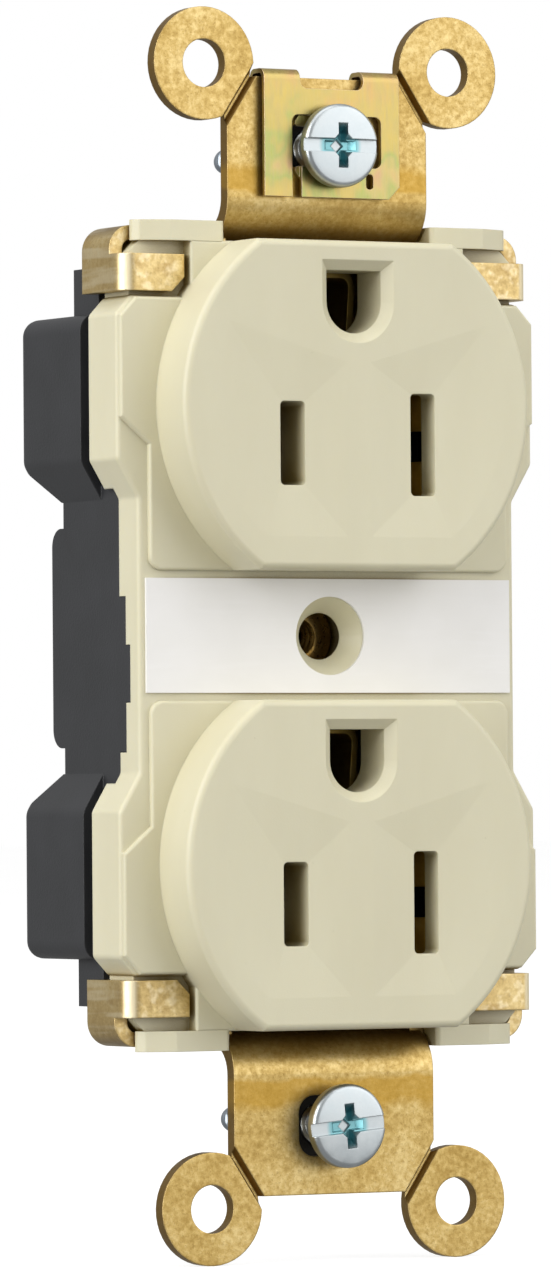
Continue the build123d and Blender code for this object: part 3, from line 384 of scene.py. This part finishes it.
NODE_MATERIALS = {
    "front_cover": ivory_nylon(),
    "face_label": white_label(),
    "rear_body": charcoal,
    "mounting_strap": strap_brass(),
    "self_grounding_clip": chromated_steel(),
    "contact_retainer": moulded_plastic("retainer_plastic", (0.05, 0.05, 0.055),
                                        (0.08, 0.08, 0.085), 0.5, 0.25 * MM),
    "assembly_screws": assembly_zinc,
    "upper_mounting_screw": upper_zinc,
    "lower_mounting_screw": lower_zinc,
}
fibre = moulded_plastic("washer_fibre", (0.010, 0.010, 0.011), (0.018, 0.017, 0.017),
                        0.6, 0.3 * MM)
for name in nodes:
    if name.endswith("screw_washer"):
        NODE_MATERIALS[name] = fibre
    elif name.endswith(("_contact", "_strip", "_blade")):
        NODE_MATERIALS[name] = contact_brass
    elif name.endswith(("_rivets", "_rivet", "_bushing")):
        NODE_MATERIALS[name] = turned_brass

for name, material in NODE_MATERIALS.items():
    nodes[name].data.materials.clear()
    nodes[name].data.materials.append(material)


# --- Threaded pieces ------------------------------------------------------------------------

SEGMENTS = 48
THREAD_PITCH = 0.794 * MM        # 32 threads to the inch
THREAD_DEPTH = 0.40 * MM
RINGS_PER_TURN = 8
SHANK_RADIUS = 1.75 * MM
TIP_RADIUS = 0.9 * MM
NOSE_LENGTH = 1.2 * MM
TAPER_LENGTH = 5.0 * MM
HEAD_T = 1.3 * MM
HEAD_EDGE = 0.45 * MM            # rounding of the head's front edge
HEAD_CROWN = 0.12 * MM           # rise of the head's face towards its middle
HEAD_BEVEL = 0.12 * MM           # bevel of the head's back edge
CROWN_RINGS = 7
EDGE_RINGS = 6
CUT_ABOVE = 0.5 * MM             # how far the plugs stand out of the head
SLOT_DEPTH = 0.5 * MM
SLOT_TOP = (4.2 * MM, 0.60 * MM)
SLOT_FLOOR = (4.2 * MM, 0.54 * MM)
CROSS_DEPTH = 1.25 * MM
CROSS_TOP = (2.3 * MM, 0.52 * MM)
CROSS_FLOOR = (1.1 * MM, 0.36 * MM)
WELL_DEPTH = 1.45 * MM
WELL_TOP = (1.25 * MM, 1.25 * MM)
WELL_FLOOR = (0.35 * MM, 0.35 * MM)
SHARP_ANGLE = 35                 # degrees

BORE_RADIUS = 1.4 * MM
BORE_BEVEL = 0.25 * MM
FLANGE_BEVEL = 0.15 * MM
NECK_RADIUS = 2.3 * MM
SWAGE_RADIUS = 2.8 * MM
SWAGE_T = 0.6 * MM
SWAGE_BEVEL = 0.2 * MM


def thread_radius(y, angle, crest, depth=THREAD_DEPTH):
    """Radius of a right-hand thread at that depth and angle, with flat crests and roots."""
    phase = (y / THREAD_PITCH + angle / math.tau) % 1.0
    fall = min(max(1.3 * abs(2 * phase - 1) - 0.15, 0.0), 1.0)
    return crest - depth * fall


def placed(name, shape):
    """An object in the scene from a bmesh, its normals facing out."""
    bmesh.ops.recalc_face_normals(shape, faces=shape.faces)
    mesh = bpy.data.meshes.new(name)
    shape.to_mesh(mesh)
    shape.free()
    piece = bpy.data.objects.new(name, mesh)
    bpy.context.scene.collection.objects.link(piece)
    return piece


def turned(name, rings, centre_z, closed):
    """A turned body about an axis along Y. A ring is its depth and its radius by angle."""
    shape = bmesh.new()
    loops = []
    for y, radius in rings:
        angles = [math.tau * i / SEGMENTS for i in range(SEGMENTS)]
        loops.append([
            shape.verts.new((radius(a) * math.cos(a), y, centre_z + radius(a) * math.sin(a)))
            for a in angles
        ])
    pairs = list(zip(loops, loops[1:]))
    if closed:
        pairs.append((loops[-1], loops[0]))
    else:
        shape.faces.new(loops[0])
        shape.faces.new(loops[-1])
    for near, far in pairs:
        for i in range(SEGMENTS):
            j = (i + 1) % SEGMENTS
            shape.faces.new((near[i], near[j], far[j], far[i]))
    return placed(name, shape)


def steady(radius):
    """The same radius at every angle."""
    return lambda angle: radius


def cutter(name, top, bottom, y_top, y_bottom, centre_z, turn):
    """A tapered plug: (half width, half height) at its top and bottom, turned about Y."""
    shape = bmesh.new()
    loops = []
    for (half_w, half_h), y in ((top, y_top), (bottom, y_bottom)):
        corners = ((-1, -1), (1, -1), (1, 1), (-1, 1))
        loops.append([shape.verts.new((sx * half_w, y, sz * half_h)) for sx, sz in corners])
    shape.faces.new(loops[0])
    shape.faces.new(loops[1])
    for i in range(4):
        j = (i + 1) % 4
        shape.faces.new((loops[0][i], loops[0][j], loops[1][j], loops[1][i]))
    place = Matrix.Translation((0, 0, centre_z)) @ Matrix.Rotation(-turn, 4, "Y")
    bmesh.ops.transform(shape, verts=shape.verts, matrix=place)
    return placed(name, shape)


def carve(piece, plugs):
    """Cuts the plugs out of the piece for good and deletes them."""
    for plug in plugs:
        modifier = piece.modifiers.new("cut", "BOOLEAN")
        modifier.operation = "DIFFERENCE"
        modifier.solver = "EXACT"
        modifier.object = plug
    graph = bpy.context.evaluated_depsgraph_get()
    mesh = bpy.data.meshes.new_from_object(piece.evaluated_get(graph))
    piece.modifiers.clear()
    piece.data = mesh
    for plug in plugs:
        bpy.data.objects.remove(plug)


def smooth(piece, angle):
    """Smooth shading that keeps edges sharper than that angle."""
    piece.data.polygons.foreach_set("use_smooth", [True] * len(piece.data.polygons))
    piece.data.set_sharp_from_angle(angle=math.radians(angle))


def mounting_screw(name, node, body, material, turn):
    """A pan-head mounting screw with a slot, a cross recess and a thread up to its head."""
    low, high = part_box(node)
    centre_z = (low.z + high.z) / 2
    head_radius = (high.x - low.x) / 2
    head_rear = low.y + HEAD_T
    rings = [(low.y, steady(0.2 * MM))]
    for i in range(1, CROWN_RINGS):
        share = i / CROWN_RINGS
        rings.append((low.y + HEAD_CROWN * share ** 2,
                      steady(share * (head_radius - HEAD_EDGE))))
    for i in range(EDGE_RINGS + 1):
        bend = math.radians(90 * i / EDGE_RINGS)
        rings.append((
            low.y + HEAD_CROWN + HEAD_EDGE * (1 - math.cos(bend)),
            steady(head_radius - HEAD_EDGE * (1 - math.sin(bend))),
        ))
    rings.append((head_rear - HEAD_BEVEL, steady(head_radius)))
    rings.append((head_rear, steady(head_radius - HEAD_BEVEL)))
    rings.append((head_rear, steady(SHANK_RADIUS)))
    count = int((high.y - head_rear) / THREAD_PITCH * RINGS_PER_TURN)
    for i in range(count):
        y = head_rear + (high.y - head_rear) * (i + 0.5) / count
        left = high.y - y
        taper = TIP_RADIUS + (SHANK_RADIUS - TIP_RADIUS) * left / TAPER_LENGTH
        nose = math.sqrt(1 - (1 - min(left / NOSE_LENGTH, 1)) ** 2)
        crest = min(SHANK_RADIUS, taper) * nose
        cut = THREAD_DEPTH * min(max(left / NOSE_LENGTH - 1, 0), 1)
        rings.append((y, lambda a, y=y, c=crest, d=cut: thread_radius(y, a, c, d)))
    rings.append((high.y, steady(0.1 * MM)))
    piece = turned(name, rings, centre_z, closed=False)
    above = low.y - CUT_ABOVE
    slot_floor = low.y + HEAD_CROWN + SLOT_DEPTH
    cross_floor = low.y + CROSS_DEPTH
    quarter = math.radians(90)
    carve(piece, [
        cutter("slot", SLOT_TOP, SLOT_FLOOR, above, slot_floor, centre_z, turn),
        cutter("across", CROSS_TOP, CROSS_FLOOR, above, cross_floor, centre_z, turn),
        cutter("upright", CROSS_TOP, CROSS_FLOOR, above, cross_floor, centre_z, turn + quarter),
        cutter("well", WELL_TOP, WELL_FLOOR, above, low.y + WELL_DEPTH, centre_z,
               turn + quarter / 2),
    ])
    smooth(piece, SHARP_ANGLE)
    piece.data.materials.clear()
    piece.data.materials.append(material)
    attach(piece, body)
    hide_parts(node)


def nodes_front(node, radius):
    """Depth of the back of a node's widest part."""
    reach = radius - 0.01 * MM
    return max(v.co.y for v in nodes[node].data.vertices if math.hypot(v.co.x, v.co.z) > reach)


def threaded_bushing():
    """The cover screw's bushing, with its thread cut in the bore."""
    low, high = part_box("cover_screw_bushing")
    flange = (high.x - low.x) / 2
    neck_y = nodes_front("cover_screw_bushing", flange)
    rings = [
        (low.y, steady(BORE_RADIUS + BORE_BEVEL)),
        (low.y, steady(flange - FLANGE_BEVEL)),
        (low.y + FLANGE_BEVEL, steady(flange)),
        (neck_y, steady(flange)),
        (neck_y, steady(NECK_RADIUS)),
        (high.y - SWAGE_T, steady(NECK_RADIUS)),
        (high.y - SWAGE_T, steady(SWAGE_RADIUS)),
        (high.y, steady(SWAGE_RADIUS - SWAGE_BEVEL)),
        (high.y, steady(BORE_RADIUS + BORE_BEVEL)),
    ]
    count = int((high.y - low.y) / THREAD_PITCH * RINGS_PER_TURN)
    for i in range(count):
        y = high.y - (high.y - low.y) * (i + 0.5) / count
        rings.append((y, lambda a, y=y: thread_radius(y, a, BORE_RADIUS + THREAD_DEPTH * 0.8)))
    piece = turned("cover_screw_bushing_threaded", rings, 0.0, closed=True)
    smooth(piece, SHARP_ANGLE)
    piece.data.materials.append(turned_brass)
    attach(piece, "outlet")
    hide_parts("cover_screw_bushing")


mounting_screw("upper_screw_threaded", "upper_mounting_screw", "upper_screw", upper_zinc, 0.0)
mounting_screw("lower_screw_threaded", "lower_mounting_screw", "lower_screw", lower_zinc,
               math.radians(5))
threaded_bushing()


# --- Studio ---------------------------------------------------------------------------------

FLOOR_HALF = 6.0


def studio_floor():
    """A plain pale floor under the outlet."""
    mesh = bpy.data.meshes.new("studio_floor")
    bottom = cad_box[0].z
    corners = [(sx * FLOOR_HALF, sy * FLOOR_HALF, bottom)
               for sx, sy in ((-1, -1), (1, -1), (1, 1), (-1, 1))]
    mesh.from_pydata(corners, [], [(0, 1, 2, 3)])
    floor = bpy.data.objects.new("studio_floor", mesh)
    bpy.context.scene.collection.objects.link(floor)
    material, tree, shader = new_material("floor_paper")
    cloud = noise(tree, position(tree), 0.4, detail=2.0)
    link(tree, mix(tree, cloud, (0.33, 0.33, 0.33), (0.37, 0.37, 0.37)),
         shader.inputs["Base Color"])
    shader.inputs["Roughness"].default_value = 0.9
    shader.inputs["Emission Color"].default_value = (1.0, 1.0, 1.0, 1.0)
    shader.inputs["Emission Strength"].default_value = 0.77
    mesh.materials.append(material)
    floor.visible_diffuse = False
    floor.visible_glossy = False


def area_light(name, place, size, power, colour=(1.0, 1.0, 1.0)):
    """A soft box at that place, aimed at the outlet's centre."""
    light = bpy.data.lights.new(name, "AREA")
    light.shape = "RECTANGLE"
    light.size, light.size_y = size
    light.energy = power
    light.color = colour
    lamp = bpy.data.objects.new(name, light)
    lamp.location = place
    lamp.rotation_euler = (-Vector(place)).to_track_quat("-Z", "Y").to_euler()
    lamp.visible_camera = False
    bpy.context.scene.collection.objects.link(lamp)


def studio_lights():
    """Three broad soft boxes, and a room paler above than below that the camera sees white."""
    world = bpy.data.worlds.new("studio")
    world.use_nodes = True
    tree = world.node_tree
    background = tree.nodes["Background"]
    background.inputs["Color"].default_value = (1.0, 1.0, 1.0, 1.0)
    height = separate(tree, tree.nodes.new("ShaderNodeTexCoord").outputs["Generated"])[2]
    glow = spread(tree, height, -0.6, 0.6, 0.36, 0.54)
    seen = tree.nodes.new("ShaderNodeLightPath").outputs["Is Camera Ray"]
    link(tree, math_node(tree, "MAXIMUM", glow, seen), background.inputs["Strength"])
    bpy.context.scene.world = world
    area_light("side_from_left", (-1.30, -0.30, 0.30), (1.0, 1.6), 22.0)
    area_light("front_from_right", (1.00, -1.15, 0.60), (1.9, 1.7), 16.0)
    area_light("top", (-0.1, -0.30, 1.4), (1.2, 1.0), 6.0)


def studio_camera():
    """The lens looks at a point on the faces' plane, from the front left and just below it."""
    azimuth, elevation, roll = math.radians(29.37), math.radians(-1.09), math.radians(-0.43)
    aim = Vector((-8.3, -6.3, -0.4)) * MM
    distance = 713.0 * MM
    back = Vector((
        -math.sin(azimuth) * math.cos(elevation),
        -math.cos(azimuth) * math.cos(elevation),
        math.sin(elevation),
    ))
    data = bpy.data.cameras.new("camera")
    data.lens = 238.6
    data.sensor_width = 36.0
    data.clip_start = 0.05
    data.clip_end = 20.0
    camera = bpy.data.objects.new("camera", data)
    camera.location = aim + back * distance
    camera.rotation_mode = "QUATERNION"
    turn = Matrix.Rotation(roll, 4, "Z").to_quaternion()
    camera.rotation_quaternion = (-back).to_track_quat("-Z", "Y") @ turn
    bpy.context.scene.collection.objects.link(camera)
    bpy.context.scene.camera = camera


studio_floor()
studio_lights()
studio_camera()
bpy.context.scene.view_settings.view_transform = "Standard"
